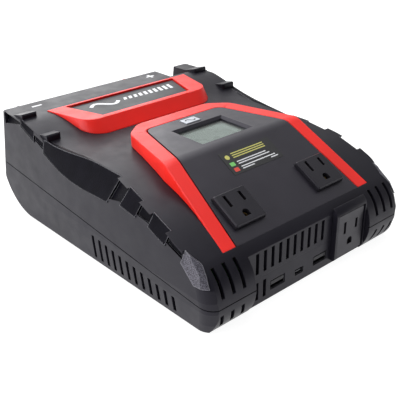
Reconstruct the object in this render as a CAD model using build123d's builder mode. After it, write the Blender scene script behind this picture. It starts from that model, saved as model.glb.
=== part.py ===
from build123d import *
import os
from math import cos, hypot, radians, sin, sqrt, tan

# 12 V power inverter.  Millimetres, +Z up, front (outlet side) towards -Y.
# The origin is on the ground, under the middle of the inverter, terminal knobs included.
# Lengths along the housing are given as distances behind the flat front panel: see back().

# ---- driving dimensions -------------------------------------------------------------
PANEL_Y = -127.0        # the flat front panel's plane
HALF_WIDTH = 96.5       # widest half width, at the seam
FLOOR_Z = 1.2           # underside of the housing, standing on its feet
DECK_Z = 84.0           # flat rear deck
WALL = 2.5              # moulded wall thickness
FIT = 0.05              # radial clearance of a running fit

REAR_SEAM = 246.5       # rear wall, at its widest
REAR_TOP = 237.0        # rear edge of the deck
DECK_START = 209.0      # where the roof has risen to the deck
HEEL_RADIUS = 40.0      # rear bottom curve

SEAM_START_Z = 21.4     # seam height at the front panel
SEAM_SLOPE = 0.0755     # seam rise per millimetre towards the rear
SEAM_GAP = 0.7
SEAM_DEPTH = 1.2

# Roof line outside the control panel, from the deck down to the nose: (distance back, z)
ROOF = ((DECK_START, DECK_Z), (169, 76.2), (120, 73.5), (80, 70.7), (46, 64.2),
        (25, 56.2))
NOSE_CENTRE = (22.0, 21.0)
NOSE_RADIUS = 30.0
NOSE_TOP_DEG = 30.0     # the roof leaves the nose at this slope

# Plan of the housing at its levels: (z, front, rear, front half width, rear half width)
PLAN = ((-2, -3, REAR_SEAM, 92.5, 96.8), (8, -6.8, REAR_SEAM, 94.2, 96.7),
        (18, -8.8, REAR_SEAM, 95.8, 96.6), (26, -8.6, REAR_SEAM, HALF_WIDTH, HALF_WIDTH),
        (34, -6.1, 245.1, 96.2, 96.2), (42, -0.8, 243.7, 96, 96), (50, 10, 242.3, 95.7, 95.7),
        (92, 40, 235, 94.5, 94.5))
FRONT_CORNER = 11.0
REAR_CORNER = 3.5

# Shoulder chamfer under the guards: (distance back, half width at the roof, z on the wall)
SHOULDER = ((-14, 93.5, 24), (-3, 93.8, 30), (5, 92.2, 34), (18, 92, 46), (33, 90.5, 51),
            (49, 90, 57), (63, 88, 58.5), (79, 86, 60.5), (94, 82.5, 57.3), (121, 84.3, 56.2),
            (136, 86.5, 56.9), (150, 89.5, 58.8), (163, 92, 62.8), (174, 93.3, 67),
            (204, 93, 79), (236, 89, 72))
WALL_TOP_X = HALF_WIDTH - 0.8   # half width of the wall where the chamfer meets it

# A guard is a row of raised blocks and sunk gaps: these are its ends, a block first
GUARD_STATIONS = (-14, 17.7, 32.5, 49, 62, 78.5, 93, 174, 187, 206, 232)
GUARD_FOOT_Z = 35.0     # the guard ends here, above the seam
GUARD_SEAT = 2.8        # depth of the pocket that a guard lies in
BLOCK_PROUD = 0.9
BLOCK_REACH = 0.3       # how far a block runs past the chamfer's edges
GAP_SUNK = 0.9
GAP_REACH = -2.2

# Grip lugs: (inner x, outer x, front wall, top, length of the ramp)
LUGS = ((80, 93, 206, 87.6, 18), (81.5, 93.5, 170, 81.4, 22))
LUG_DROP = 4.5          # how far the ramp falls

# Control panel: a sloping face from the nose up to a crease, then flat
SLOPE_DEG = 29.5
SLOPE_FOOT = (7.0, 47.0)
CREASE = 70.5
CREASE_RADIUS = 14.0
PANEL_TOP = 83.0
PANEL_THICK = 2.5
FRAME_OUTER = ((71.9, 7), (64.5, 70.5), (49.5, 129), (34, 141))
FRAME_CORNERS = (0, 0, 16, 14)
FRAME_INNER = ((60.9, 7), (53, 70.5), (37, 128))
INNER_CORNERS = (0, 0, 8)
FRAME_LEDGE = ((58.9, 9), (51, 70.5), (36, 122), (31, 126))
PANEL_RUN_OUT = 40.0    # the slope's plane runs on this far past its foot
PANEL_END = 160.0
COVER_OPENING = ((58.7, 10.5), (50.8, 70.5), (33, 116), (33, 118))
PANEL_GAP = 0.8

# Rear bezel and its label
BEZEL_TOP_Z = 84.7
BEZEL_OUTLINE = ((59.5, 166.7), (69.5, 209.5))
BEZEL_CORNERS = (14, 0)
BEZEL_FOOT = ((61.5, 155), (72.5, 209.5))
BEZEL_FOOT_CORNERS = (22, 0)
BEZEL_FOOT_Z = 70.0
BEZEL_SEAT_Z = 80.0
LABEL_OUTLINE = ((43.5, 171.3), (54.5, 207.3))
LABEL_Z = 83.4
LABEL_THICK = 2.0

# Outlets
SOCKET_X = 39.5
SOCKET_BACK = 32.0
SOCKET_PROUD = 3.6
SOCKET_SIZE = (27.0, 26.0)
SOCKET_SHIFT = 5.8      # from the blade slots down to the plate's middle
SOCKET_DEPTH = 20.0
SOCKET_GAP = 0.3
BLADE_PITCH = 12.7      # standard spacing of the two blade slots
GROUND_DROP = 11.9      # standard distance of the round earth hole below them
FRONT_SOCKET_X = 41.5
FRONT_SOCKET_Z = 22.0
FRONT_SOCKET_FACE = -3.4
FRONT_SOCKET_SIZE = (29.0, 34.4)
FRONT_SOCKET_SHIFT = 5.3
SURROUND_X = (24.6, 57.5)
SURROUND_FACE = -4.2
SURROUND_Z = (4.6, 45.0)
SURROUND_GAP = 0.4
CONTACT_SPAN = (4.0, 12.0)  # depth of the brass contacts behind an outlet's face
BLADE_WIDTH = 2.4
NEUTRAL_HEIGHT = 9.4
LIVE_HEIGHT = 7.6
EARTH_RADIUS = 2.7

# Front recess and what opens into it
RECESS_X = (-57.5, 58)
RECESS_TOP = 60.0
SLOT_WIDTH = 2.8
SLOT_PITCH = 7.04
SLOT_START_X = -48.8
UPPER_SLOTS = (10, (24.6, 39.9))    # how many, and their ends in Z
LOWER_SLOTS = (2, (5.0, 18.0))
NOSE_SLOTS_X = (67.1, 76.0, 84.9)
UPPER_NOSE_SLOTS = ((27.0, 44.0), 0)    # ends in Z, lean in degrees
LOWER_NOSE_SLOTS = ((5.5, 15.5), 14)
SIDE_SLOTS = [27.4 + 7.96 * index for index in range(12)]
SIDE_SLOT_WIDTH = 3.0
SIDE_SLOT_FOOT = 4.6
SIDE_SLOT_TOP = 16.1    # top of the foremost one
SIDE_SLOT_RISE = 0.08   # the tops rise by this much per millimetre towards the rear
USB_X = (-29.2, 13.5)
USB_SIZE = (14.0, 7.0)
REMOTE_X = -8.0
REMOTE_SIZE = (8.4, 4.6)
PORT_FLOOR_Z = 7.2
PORT_SHELL = 0.5        # wall of the ports' metal shells
PORT_SUNK = 0.6         # the shells start this far behind the panel
PORT_BOARD_X = (-38, 21)
TONGUE_WIDTH = 12.0

# Control panel parts
LCD_X = 22.5
LCD_SPAN = (80, 110)
LENS_Z = (78.2, 79.7)
LCD_RIM = 2.0           # chamfer around the display's window
LENS_MARGIN = 1.6
WELL_WALL = 2.0
DISPLAY_BOARD_Z = (71.0, 72.6)
BADGE_X = (-7.5, 6.5)
BADGE_SPAN = (114.8, 123.2)
BADGE_THICK = 0.6

# Rear panel, fan and terminals
REAR_PANEL_BACK = 229.0
WINDOW_X = (-84, 52)
WINDOW_Z = (12, 78)
FAN_X = -14.0
FAN_Z = 45.0
FAN_SIZE = 60.0
FAN_DEPTH = 20.0
FAN_BORE = 28.5
FAN_HOLE_PITCH = 50.0
FAN_HOLE_R = 2.1
FAN_SHAFT_R = 1.5
FAN_BLADES = 7
GUARD_WIRE = 1.5
GUARD_RINGS = (8, 14.5, 21, 27.5)
TERMINAL_Z = 65.0
NEGATIVE_X = -69.0
POSITIVE_X = 40.0
STUD_RADIUS = 4.0
STUD_SPAN = (212.0, 257.0)
NECK_RADIUS = 8.0
COLLAR_RADIUS = 11.5
COLLAR_END = 243.0
WASHER_THICK = 1.5
KNOB_END = 262.0
KNOB_RADIUS = 10.5

# Switch pocket
POCKET_X = (58, 80)
POCKET_FRONT = 214.0
POCKET_FLOOR = 68.0
SWITCH_X = 69.0
SWITCH_BACK = 225.8
SWITCH_NECK = (16.0, 22.4)
SWITCH_FLANGE = (18.0, 23.4)
SWITCH_WELL = (13.0, 21.0)
ROCKER_PIVOT_Z = 67.0
ROCKER_WIDTH = 12.4
ROCKER_TILT = 9.0
PIN_RADIUS = 1.3

# Main board
BOARD_Z = 9.0
BOARD_THICK = 1.6
BOARD_HALF_WIDTH = 66.0
BOARD_SPAN = (26, 198)
BOARD_TOP = BOARD_Z + BOARD_THICK
STANDOFFS = ((60, 32), (60, 192))
BOARD_SCREW_R = 1.25
SINK_BASE = (67.8, 71.2)    # the heat sinks stand on edge, this far from the middle
SINK_SPAN = (60, 180)
SINK_FINS = 7
TRANSISTORS = [72 + 24 * index for index in range(5)]
TRANSFORMERS = ((-27, 84), (27, 84))
CORE_SIZE = (44, 18, 36)
CAPACITORS = ((-46, 134, 11, 42), (-20, 134, 11, 42), (-40, 176, 6.5, 24), (-22, 176, 6.5, 24),
              (-4, 176, 6.5, 24), (14, 176, 6.5, 24))    # x, distance back, radius, height

# Screws and feet
CASE_SCREWS = ((84, 34), (84, 200))
CASE_SCREW_R = 1.5
CASE_HEAD_R = 3.0
BOSS_RADIUS = 5.0
FEET = ((75, 26), (75, 188))
FOOT_RADIUS = 6.0

FAR = 45.0              # well clear of the housing
SKY = 120.0             # above everything
BEHIND = 270.0          # behind everything


# ---- helpers ------------------------------------------------------------------------
def back(distance):
    """Y of a point that is this far behind the front panel."""
    return PANEL_Y + distance


def section_plane(distance):
    """Upright plane across the housing: local x is X, local y is Z."""
    return Plane.XZ.offset(-back(distance))


def block(x_span, back_span, z_span):
    """A box between two limits along each axis."""
    with BuildPart() as solid:
        centre = (sum(x_span) / 2, back(sum(back_span) / 2), sum(z_span) / 2)
        with Locations(centre):
            Box(x_span[1] - x_span[0], back_span[1] - back_span[0], z_span[1] - z_span[0])
    return solid.part


def widened(span, margin):
    """Span that runs a margin further at both ends."""
    return (span[0] - margin, span[1] + margin)


def around(middle, size):
    """Span of a size around a middle."""
    return (middle - size / 2, middle + size / 2)


def on_side(side, span):
    """Span in X on the right (1) or its mirror image on the left (-1)."""
    return sorted((side * span[0], side * span[1]))


def rod(x, back_span, z, radius):
    """A cylinder that lies along Y."""
    with BuildPart() as solid:
        with BuildSketch(section_plane(back_span[0])):
            with Locations((x, z)):
                Circle(radius)
        extrude(amount=-(back_span[1] - back_span[0]))
    return solid.part


def post(x, distance, z_span, radius):
    """A cylinder that stands along Z."""
    with BuildPart() as solid:
        with BuildSketch(Plane.XY.offset(z_span[0])):
            with Locations((x, back(distance))):
                Circle(radius)
        extrude(amount=z_span[1] - z_span[0])
    return solid.part


def mirrored_outline(half, z, corners=()):
    """Face at height z, from the right-hand half of an outline given front to rear.
    Corners are the radii of its points, 0 where a point stays sharp."""
    right = [(x, back(distance)) for x, distance in half]
    left = [(-x, y) for x, y in reversed(right)]
    with BuildSketch(Plane.XY.offset(z)) as sketch:
        with BuildLine():
            Polyline(*right, *left, close=True)
        make_face()
        for (x, y), radius in zip(right, corners):
            if radius:
                fillet(sketch.vertices().filter_by(
                    lambda corner: abs(abs(corner.X) - x) + abs(corner.Y - y) < 0.01), radius)
    return sketch.sketch


def prism(half, z_span, corners=()):
    """Upright prism of a mirrored outline."""
    with BuildPart() as solid:
        add(mirrored_outline(half, z_span[0], corners))
        extrude(amount=z_span[1] - z_span[0])
    return solid.part


def between(value, table, column):
    """Value of a table's column, read between its rows; the first column runs one way."""
    rows = sorted(table)
    for low, high in zip(rows, rows[1:]):
        if low[0] <= value <= high[0]:
            share = (value - low[0]) / (high[0] - low[0])
            return low[column] + share * (high[column] - low[column])
    return rows[0][column] if value < rows[0][0] else rows[-1][column]


def pairs(points):
    """Points given on the right, with their mirror images on the left."""
    return [(side * x, distance) for side in (-1, 1) for x, distance in points]


def export(builder, name):
    builder.part.label = name
    export_step(builder.part, f"parts/{name}.step")


# ---- the housing's outer form -------------------------------------------------------
def hull(inset):
    """The housing's solid form, moved inwards by an inset."""
    floor = FLOOR_Z + inset
    heel_radius = HEEL_RADIUS - inset
    heel = (back(REAR_SEAM - HEEL_RADIUS), FLOOR_Z + HEEL_RADIUS)
    turn = heel_radius * sin(radians(45))
    radius = NOSE_RADIUS - inset
    tilt_x = sin(radians(NOSE_TOP_DEG))
    tilt_z = cos(radians(NOSE_TOP_DEG))
    nose_top = (back(NOSE_CENTRE[0] - radius * tilt_x), NOSE_CENTRE[1] + radius * tilt_z)
    nose_front = (back(NOSE_CENTRE[0] - radius), NOSE_CENTRE[1])
    nose_bottom = (back(NOSE_CENTRE[0] - sqrt(radius ** 2 - (NOSE_CENTRE[1] - floor) ** 2)), floor)
    roof = [(back(distance), z - inset) for distance, z in ROOF] + [nose_top]
    with BuildPart() as form:
        with BuildSketch(Plane.YZ):
            with BuildLine():
                Line(nose_bottom, (heel[0], floor))
                ThreePointArc((heel[0], floor), (heel[0] + turn, heel[1] - turn),
                              (heel[0] + heel_radius, heel[1]))
                Line((heel[0] + heel_radius, heel[1]), (back(REAR_TOP - inset), DECK_Z - inset))
                Line((back(REAR_TOP - inset), DECK_Z - inset), roof[0])
                Spline(*roof, tangents=[(-1, 0), (-tilt_z, -tilt_x)])
                ThreePointArc(nose_top, nose_front, nose_bottom)
            make_face()
        extrude(amount=HALF_WIDTH + 10, both=True)
        add(plan_loft(inset), mode=Mode.INTERSECT)
    return form.part


def plan_loft(inset):
    with BuildPart() as loft_part:
        for z, front, rear, front_half, rear_half in PLAN:
            outline = ((front_half - inset, front + inset), (rear_half - inset, rear - inset))
            corners = (FRONT_CORNER - inset, REAR_CORNER - inset)
            with BuildSketch(Plane.XY.offset(z)):
                add(mirrored_outline(outline, 0, corners))
        loft(ruled=True)
    return loft_part.part


def shoulder_section(distance, sink, rise, reach):
    """Band along the right-hand shoulder chamfer, from a depth below it to a height above it."""
    upper = (between(distance, SHOULDER, 1), between(distance, ROOF + (SLOPE_FOOT,), 1))
    lower = (WALL_TOP_X, between(distance, SHOULDER, 2))
    run = (upper[0] - lower[0], upper[1] - lower[1])
    length = hypot(*run)
    along = (run[0] / length, run[1] / length)
    outward = (along[1], -along[0])

    def corner(point, step, height):
        return (point[0] + step * along[0] + height * outward[0],
                point[1] + step * along[1] + height * outward[1])

    return (corner(lower, -reach, -sink), corner(upper, reach, -sink),
            corner(upper, reach, rise), corner(lower, -reach, rise))


def shoulder_band(span, sink, rise, reach):
    """The band as a solid, over a stretch of the length."""
    stations = [span[0]]
    stations += [row[0] for row in SHOULDER if span[0] < row[0] < span[1]]
    stations += [span[1]]
    with BuildPart() as band:
        for distance in stations:
            with BuildSketch(section_plane(distance)):
                with BuildLine():
                    Polyline(*shoulder_section(distance, sink, rise, reach), close=True)
                make_face()
        loft(ruled=True)
        add(block((0, SKY), (-FAR, BEHIND), (GUARD_FOOT_Z, SKY)), mode=Mode.INTERSECT)
    return band.part


def guard_steps():
    """Blocks and gaps of a guard, front to rear: (stretch of the length, is it a block)."""
    spans = zip(GUARD_STATIONS, GUARD_STATIONS[1:])
    return [(span, index % 2 == 0) for index, span in enumerate(spans)]


def slope_z(distance):
    """Height of the control panel's face."""
    rise = (distance - SLOPE_FOOT[0]) * tan(radians(SLOPE_DEG))
    return min(SLOPE_FOOT[1] + rise, PANEL_TOP)


def panel_layer(half, top, thickness, corners=()):
    """Layer that follows the control panel's face, inside an outline."""
    foot_z = SLOPE_FOOT[1] - PANEL_RUN_OUT * tan(radians(SLOPE_DEG))
    foot = back(SLOPE_FOOT[0] - PANEL_RUN_OUT)
    crease = back((PANEL_TOP - SLOPE_FOOT[1]) / tan(radians(SLOPE_DEG)) + SLOPE_FOOT[0])
    upper = [(foot, foot_z + top), (crease, PANEL_TOP + top), (back(PANEL_END), PANEL_TOP + top)]
    lower = [(y, z - thickness) for y, z in reversed(upper)]
    with BuildPart() as layer:
        with BuildSketch(Plane.YZ) as profile:
            with BuildLine():
                Polyline(*upper, *lower, close=True)
            make_face()
            fillet(profile.vertices().filter_by(lambda point: abs(point.X - crease) < 0.01),
                   CREASE_RADIUS)
        extrude(amount=HALF_WIDTH, both=True)
        add(prism(half, (0, 2 * PANEL_TOP), corners), mode=Mode.INTERSECT)
    return layer.part


def seam_plane(lift):
    """The plane that parts the cover from the housing."""
    return Plane(origin=(0, PANEL_Y, SEAM_START_Z + lift), x_dir=(1, 0, 0),
                 z_dir=(0, -SEAM_SLOPE, 1))


def seam_z(distance):
    return SEAM_START_Z + SEAM_SLOPE * distance


OUTER = hull(0)
INNER = hull(WALL)
GROOVE_CORE = hull(SEAM_DEPTH)
os.makedirs("parts", exist_ok=True)


# ---- the moulded shell, before it is parted ------------------------------------------
with BuildPart() as cavity:
    add(INNER)
    guard_room = shoulder_band((GUARD_STATIONS[0], GUARD_STATIONS[-1]), GUARD_SEAT + WALL, FAR, FAR)
    add(guard_room, mode=Mode.SUBTRACT)
    add(mirror(guard_room, about=Plane.YZ), mode=Mode.SUBTRACT)
    # walls around the front recess, the switch pocket and the rear panel's groove
    add(block(widened(RECESS_X, WALL), (-FAR, WALL), (0, RECESS_TOP)), mode=Mode.SUBTRACT)
    add(block(widened(POCKET_X, WALL), (POCKET_FRONT - WALL, BEHIND),
              (POCKET_FLOOR - WALL, SKY)), mode=Mode.SUBTRACT)
    add(block(widened(WINDOW_X, 2 * WALL), (REAR_PANEL_BACK - WALL, BEHIND),
              widened(WINDOW_Z, 2 * WALL)), mode=Mode.SUBTRACT)
    # bosses for the case screws
    for x, distance in pairs(CASE_SCREWS):
        add(post(x, distance, (0, SKY), BOSS_RADIUS), mode=Mode.SUBTRACT)
    # seats under the control panel and the rear bezel
    add(panel_layer(FRAME_OUTER, 0, 2 * PANEL_THICK), mode=Mode.SUBTRACT)
    add(prism(((BEZEL_FOOT[1][0], 186), (BEZEL_FOOT[1][0], 212)), (BEZEL_SEAT_Z - WALL, SKY)),
        mode=Mode.SUBTRACT)


def lug(side, inner_x, outer_x, front, top, run):
    """Grip lug: a steep front wall with a ramp behind it that dies into the roof."""
    with BuildPart() as wedge:
        with BuildSketch(Plane.YZ.offset(min(side * inner_x, side * outer_x))):
            with BuildLine():
                Polyline((back(front), top - 10), (back(front), top - 1),
                         (back(front + 1), top), (back(front + run), top - LUG_DROP),
                         (back(front + run), top - 10), close=True)
            make_face()
        extrude(amount=outer_x - inner_x)
        inner_edges = wedge.edges().filter_by(Axis.Z).sort_by(Axis.Y)[:2]
        fillet(inner_edges.sort_by(lambda edge: abs(edge.center().X))[0], 2.0)
    return wedge.part


rear_panel_zone = block(widened(WINDOW_X, WALL), (REAR_PANEL_BACK, REAR_PANEL_BACK + WALL),
                        widened(WINDOW_Z, WALL))

with BuildPart() as shell:
    add(OUTER)
    add(cavity.part, mode=Mode.SUBTRACT)
    for side in (-1, 1):
        for inner_x, outer_x, front, top, run in LUGS:
            add(lug(side, inner_x, outer_x, front, top, run))
    add(block(RECESS_X, (-FAR, 0), (-FAR, RECESS_TOP)), mode=Mode.SUBTRACT)
    add(block(WINDOW_X, (REAR_PANEL_BACK - 10, BEHIND), WINDOW_Z), mode=Mode.SUBTRACT)
    add(rear_panel_zone, mode=Mode.SUBTRACT)
    add(block(POCKET_X, (POCKET_FRONT, BEHIND), (POCKET_FLOOR, SKY)), mode=Mode.SUBTRACT)
    for span, raised in guard_steps():
        seat = shoulder_band(span, GUARD_SEAT, FAR, BLOCK_REACH if raised else GAP_REACH)
        add(seat, mode=Mode.SUBTRACT)
        add(mirror(seat, about=Plane.YZ), mode=Mode.SUBTRACT)


with BuildPart() as seam_groove:
    with BuildSketch(seam_plane(-SEAM_GAP / 2)):
        Rectangle(3 * HALF_WIDTH, 4 * REAR_SEAM)
    extrude(amount=SEAM_GAP)
    add(GROOVE_CORE, mode=Mode.SUBTRACT)
    add(block(widened(RECESS_X, SEAM_DEPTH), (SEAM_DEPTH, FAR), (0, RECESS_TOP)),
        mode=Mode.SUBTRACT)


# ---- cutters shared by both shells ---------------------------------------------------
FRONT_WALL = (-1, WALL + 1)     # reaches through the flat front panel


def front_slots(count, z_span):
    """A row of upright slots through the flat front panel."""
    with BuildPart() as slots:
        for index in range(count):
            x = SLOT_START_X + index * SLOT_PITCH
            add(block(around(x, SLOT_WIDTH), FRONT_WALL, z_span))
    return slots.part


def port_block(x, size, back_span, inset=0.0):
    """Box of a port that stands on the port board, pulled in by an inset."""
    z_span = (PORT_FLOOR_Z + inset, PORT_FLOOR_Z + size[1] - inset)
    return block(around(x, size[0] - 2 * inset), back_span, z_span)


def socket_window():
    """Opening behind the front outlet."""
    return block((SURROUND_X[0] + 2, SURROUND_X[1] - 0.8), FRONT_WALL, (4.6, 40))


def nose_slots(z_span, lean):
    """Three slots through each end of the nose, optionally leaning."""
    middle = sum(z_span) / 2
    with BuildPart() as slots:
        for side in (-1, 1):
            for x in NOSE_SLOTS_X:
                with Locations(Location((side * x, back(-2), middle), (0, side * lean, 0))):
                    Box(SLOT_WIDTH, 24, z_span[1] - z_span[0])
    return slots.part


def side_slots():
    """Twelve slots through each side wall, below the seam."""
    with BuildPart() as slots:
        for distance in SIDE_SLOTS:
            top = SIDE_SLOT_TOP + SIDE_SLOT_RISE * (distance - SIDE_SLOTS[0])
            for side in (-1, 1):
                add(block(on_side(side, (85, 100)), around(distance, SIDE_SLOT_WIDTH),
                          (SIDE_SLOT_FOOT, top)))
    return slots.part


def socket_openings():
    """Room for the slope outlets, through the control panel."""
    with BuildPart() as room:
        for side in (-1, 1):
            with BuildSketch(slope_plane(side * SOCKET_X)):
                with Locations((0, -SOCKET_SHIFT)):
                    Rectangle(SOCKET_SIZE[0] + SOCKET_GAP, SOCKET_SIZE[1] + SOCKET_GAP)
            extrude(amount=12, both=True)
    return room.part


def slope_plane(x):
    """Plane on the sloping face, at an outlet's blade slots; local y runs up the slope."""
    angle = radians(SLOPE_DEG)
    rise = slope_z(SOCKET_BACK)
    return Plane(origin=(x, back(SOCKET_BACK), rise), x_dir=(1, 0, 0),
                 z_dir=(0, -sin(angle), cos(angle)))


# ---- top cover ----------------------------------------------------------------------
with BuildPart() as top_cover:
    add(shell.part)
    split(bisect_by=seam_plane(0), keep=Keep.TOP)
    for x, distance in pairs(CASE_SCREWS):
        add(post(x, distance, (10, seam_z(distance) + 14), CASE_SCREW_R), mode=Mode.SUBTRACT)
    add(panel_layer(FRAME_OUTER, 1, PANEL_THICK + 1, FRAME_CORNERS), mode=Mode.SUBTRACT)
    add(prism(COVER_OPENING, (30, SKY)), mode=Mode.SUBTRACT)
    add(prism(BEZEL_OUTLINE, (BEZEL_SEAT_Z, SKY), BEZEL_CORNERS), mode=Mode.SUBTRACT)
    add(block(around(SWITCH_X, SWITCH_NECK[0]), around(SWITCH_BACK, SWITCH_NECK[1]),
              (POCKET_FLOOR - WALL - 1, POCKET_FLOOR + 1)), mode=Mode.SUBTRACT)
    add(front_slots(*UPPER_SLOTS), mode=Mode.SUBTRACT)
    add(nose_slots(*UPPER_NOSE_SLOTS), mode=Mode.SUBTRACT)
    add(socket_window(), mode=Mode.SUBTRACT)
    add(seam_groove.part, mode=Mode.SUBTRACT)
export(top_cover, "top_cover")


# ---- bottom housing -----------------------------------------------------------------
RAILS = ((64, 67.8), (71.2, 73))    # floor rails on either side of a heat sink's base

with BuildPart() as bottom_housing:
    add(shell.part)
    split(bisect_by=seam_plane(0), keep=Keep.BOTTOM)
    for x, distance in pairs(CASE_SCREWS):
        add(post(x, distance, (0, 50), CASE_SCREW_R + 0.1), mode=Mode.SUBTRACT)
        add(post(x, distance, (0, 6), CASE_HEAD_R + 0.2), mode=Mode.SUBTRACT)
    for x, distance in pairs(STANDOFFS):
        add(post(x, distance, (FLOOR_Z + 1, BOARD_Z), 4))
        add(post(x, distance, (4.4, BOARD_Z), BOARD_SCREW_R), mode=Mode.SUBTRACT)
    for x, distance in pairs(FEET):
        add(post(x, distance, (0, FLOOR_Z + 1), FOOT_RADIUS), mode=Mode.SUBTRACT)
    for rail in RAILS:
        for side in (-1, 1):
            add(block(on_side(side, rail), SINK_SPAN, (FLOOR_Z + 1, 7)))
    add(block(PORT_BOARD_X, (WALL - 0.5, 20), (FLOOR_Z + 1, PORT_FLOOR_Z - BOARD_THICK)))
    add(front_slots(*LOWER_SLOTS), mode=Mode.SUBTRACT)
    add(nose_slots(*LOWER_NOSE_SLOTS), mode=Mode.SUBTRACT)
    add(side_slots(), mode=Mode.SUBTRACT)
    for x in USB_X:
        add(port_block(x, USB_SIZE, FRONT_WALL), mode=Mode.SUBTRACT)
    add(port_block(REMOTE_X, REMOTE_SIZE, FRONT_WALL), mode=Mode.SUBTRACT)
    add(socket_window(), mode=Mode.SUBTRACT)
    add(seam_groove.part, mode=Mode.SUBTRACT)
export(bottom_housing, "bottom_housing")


# ---- shoulder guards ----------------------------------------------------------------
with BuildPart() as right_shoulder_guard:
    for span, raised in guard_steps():
        if raised:
            add(shoulder_band(span, GUARD_SEAT, BLOCK_PROUD, BLOCK_REACH))
        else:
            add(shoulder_band(span, GUARD_SEAT, -GAP_SUNK, GAP_REACH))
    add(hull(-BLOCK_PROUD), mode=Mode.INTERSECT)
export(right_shoulder_guard, "right_shoulder_guard")

with BuildPart() as left_shoulder_guard:
    add(mirror(right_shoulder_guard.part, about=Plane.YZ))
export(left_shoulder_guard, "left_shoulder_guard")


# ---- control panel and its frame ----------------------------------------------------
with BuildPart() as frame_block:
    add(prism(FRAME_OUTER, (40, PANEL_TOP), FRAME_CORNERS))
    add(panel_layer(FRAME_OUTER, 60, 60), mode=Mode.SUBTRACT)

with BuildPart() as panel_frame:
    add(frame_block.part)
    add(OUTER, mode=Mode.SUBTRACT)
    add(panel_layer(FRAME_OUTER, 0, PANEL_THICK, FRAME_CORNERS))
    add(panel_layer(FRAME_INNER, 1, PANEL_THICK + 1, INNER_CORNERS), mode=Mode.SUBTRACT)
    add(prism(FRAME_LEDGE, (30, SKY)), mode=Mode.SUBTRACT)
export(panel_frame, "panel_frame")


def shrunk(outline, gap, front_gap=0.0):
    """Outline pulled in by a gap at its sides and rear, and by another at its front."""
    shrink = [(x - gap, distance) for x, distance in outline]
    shrink[0] = (shrink[0][0], shrink[0][1] + front_gap)
    shrink[-1] = (shrink[-1][0], shrink[-1][1] - gap)
    return shrink


def lcd_block(margin, z_span):
    """Box over the display's window, with a margin around it."""
    return block(widened((-LCD_X, LCD_X), margin), widened(LCD_SPAN, margin), z_span)


with BuildPart() as control_panel:
    add(panel_layer(shrunk(FRAME_INNER, PANEL_GAP), 0, PANEL_THICK, INNER_CORNERS))
    add(lcd_block(WELL_WALL, (LENS_Z[0], PANEL_TOP - 1)))
    add(lcd_block(0, (60, SKY)), mode=Mode.SUBTRACT)
    add(lcd_block(LENS_MARGIN, (60, LENS_Z[1])), mode=Mode.SUBTRACT)
    rim = control_panel.edges().filter_by(
        lambda edge: abs(edge.center().Z - PANEL_TOP) < 0.01
        and abs(edge.center().X) < LCD_X + 0.1
        and back(LCD_SPAN[0]) - 0.1 < edge.center().Y < back(LCD_SPAN[1]) + 0.1
        and abs(edge.center().Y - back(CREASE)) > 5)
    chamfer(rim, LCD_RIM)
    add(socket_openings(), mode=Mode.SUBTRACT)
export(control_panel, "control_panel")

with BuildPart() as lcd_lens:
    add(lcd_block(LENS_MARGIN, LENS_Z))
export(lcd_lens, "lcd_lens")

with BuildPart() as lcd_module:
    add(lcd_block(1, (DISPLAY_BOARD_Z[1], LENS_Z[0])))
export(lcd_module, "lcd_module")

with BuildPart() as display_board:
    add(lcd_block(4, DISPLAY_BOARD_Z))
export(display_board, "display_board")

with BuildPart() as badge_plate:
    add(block(BADGE_X, BADGE_SPAN, (PANEL_TOP, PANEL_TOP + BADGE_THICK)))
    chamfer(badge_plate.faces().sort_by(Axis.Z)[-1].edges(), 0.2)
export(badge_plate, "badge_plate")


# ---- rear bezel and label plate -----------------------------------------------------
with BuildPart() as bezel_body:
    add(mirrored_outline(BEZEL_FOOT, BEZEL_FOOT_Z, BEZEL_FOOT_CORNERS))
    add(mirrored_outline(BEZEL_OUTLINE, BEZEL_TOP_Z, BEZEL_CORNERS))
    loft(ruled=True)

with BuildPart() as rear_bezel:
    add(bezel_body.part)
    add(OUTER, mode=Mode.SUBTRACT)
    add(prism(BEZEL_OUTLINE, (BEZEL_SEAT_Z, BEZEL_TOP_Z - 0.01), BEZEL_CORNERS))
    add(prism(LABEL_OUTLINE, (LABEL_Z - LABEL_THICK, SKY)), mode=Mode.SUBTRACT)
export(rear_bezel, "rear_bezel")

with BuildPart() as label_plate:
    add(prism(shrunk(LABEL_OUTLINE, PANEL_GAP, PANEL_GAP), (LABEL_Z - LABEL_THICK, LABEL_Z)))
    chamfer(label_plate.faces().sort_by(Axis.Z)[-1].edges(), 0.3)
export(label_plate, "label_plate")


# ---- outlets ------------------------------------------------------------------------
def socket_body(face, size, shift, depth):
    """Outlet moulding; face is on its front, with the origin between the blade slots."""
    with BuildPart() as body:
        with BuildSketch(face):
            with Locations((0, -shift)):
                RectangleRounded(*size, 1.2)
        extrude(amount=-depth)
        chamfer(body.faces().sort_by(lambda side: side.center().dot(face.z_dir))[-1].edges(), 0.9)
        for x, slot_height in ((-BLADE_PITCH / 2, NEUTRAL_HEIGHT), (BLADE_PITCH / 2, LIVE_HEIGHT)):
            with BuildSketch(face):
                with Locations((x, 0)):
                    Rectangle(BLADE_WIDTH, slot_height)
            extrude(amount=-CONTACT_SPAN[1], mode=Mode.SUBTRACT)
        with BuildSketch(face):
            with Locations((0, -GROUND_DROP)):
                Circle(EARTH_RADIUS)
            with Locations((0, -GROUND_DROP - EARTH_RADIUS / 2)):
                Rectangle(2 * EARTH_RADIUS, EARTH_RADIUS)
        extrude(amount=-CONTACT_SPAN[1], mode=Mode.SUBTRACT)
    return body.part


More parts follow.
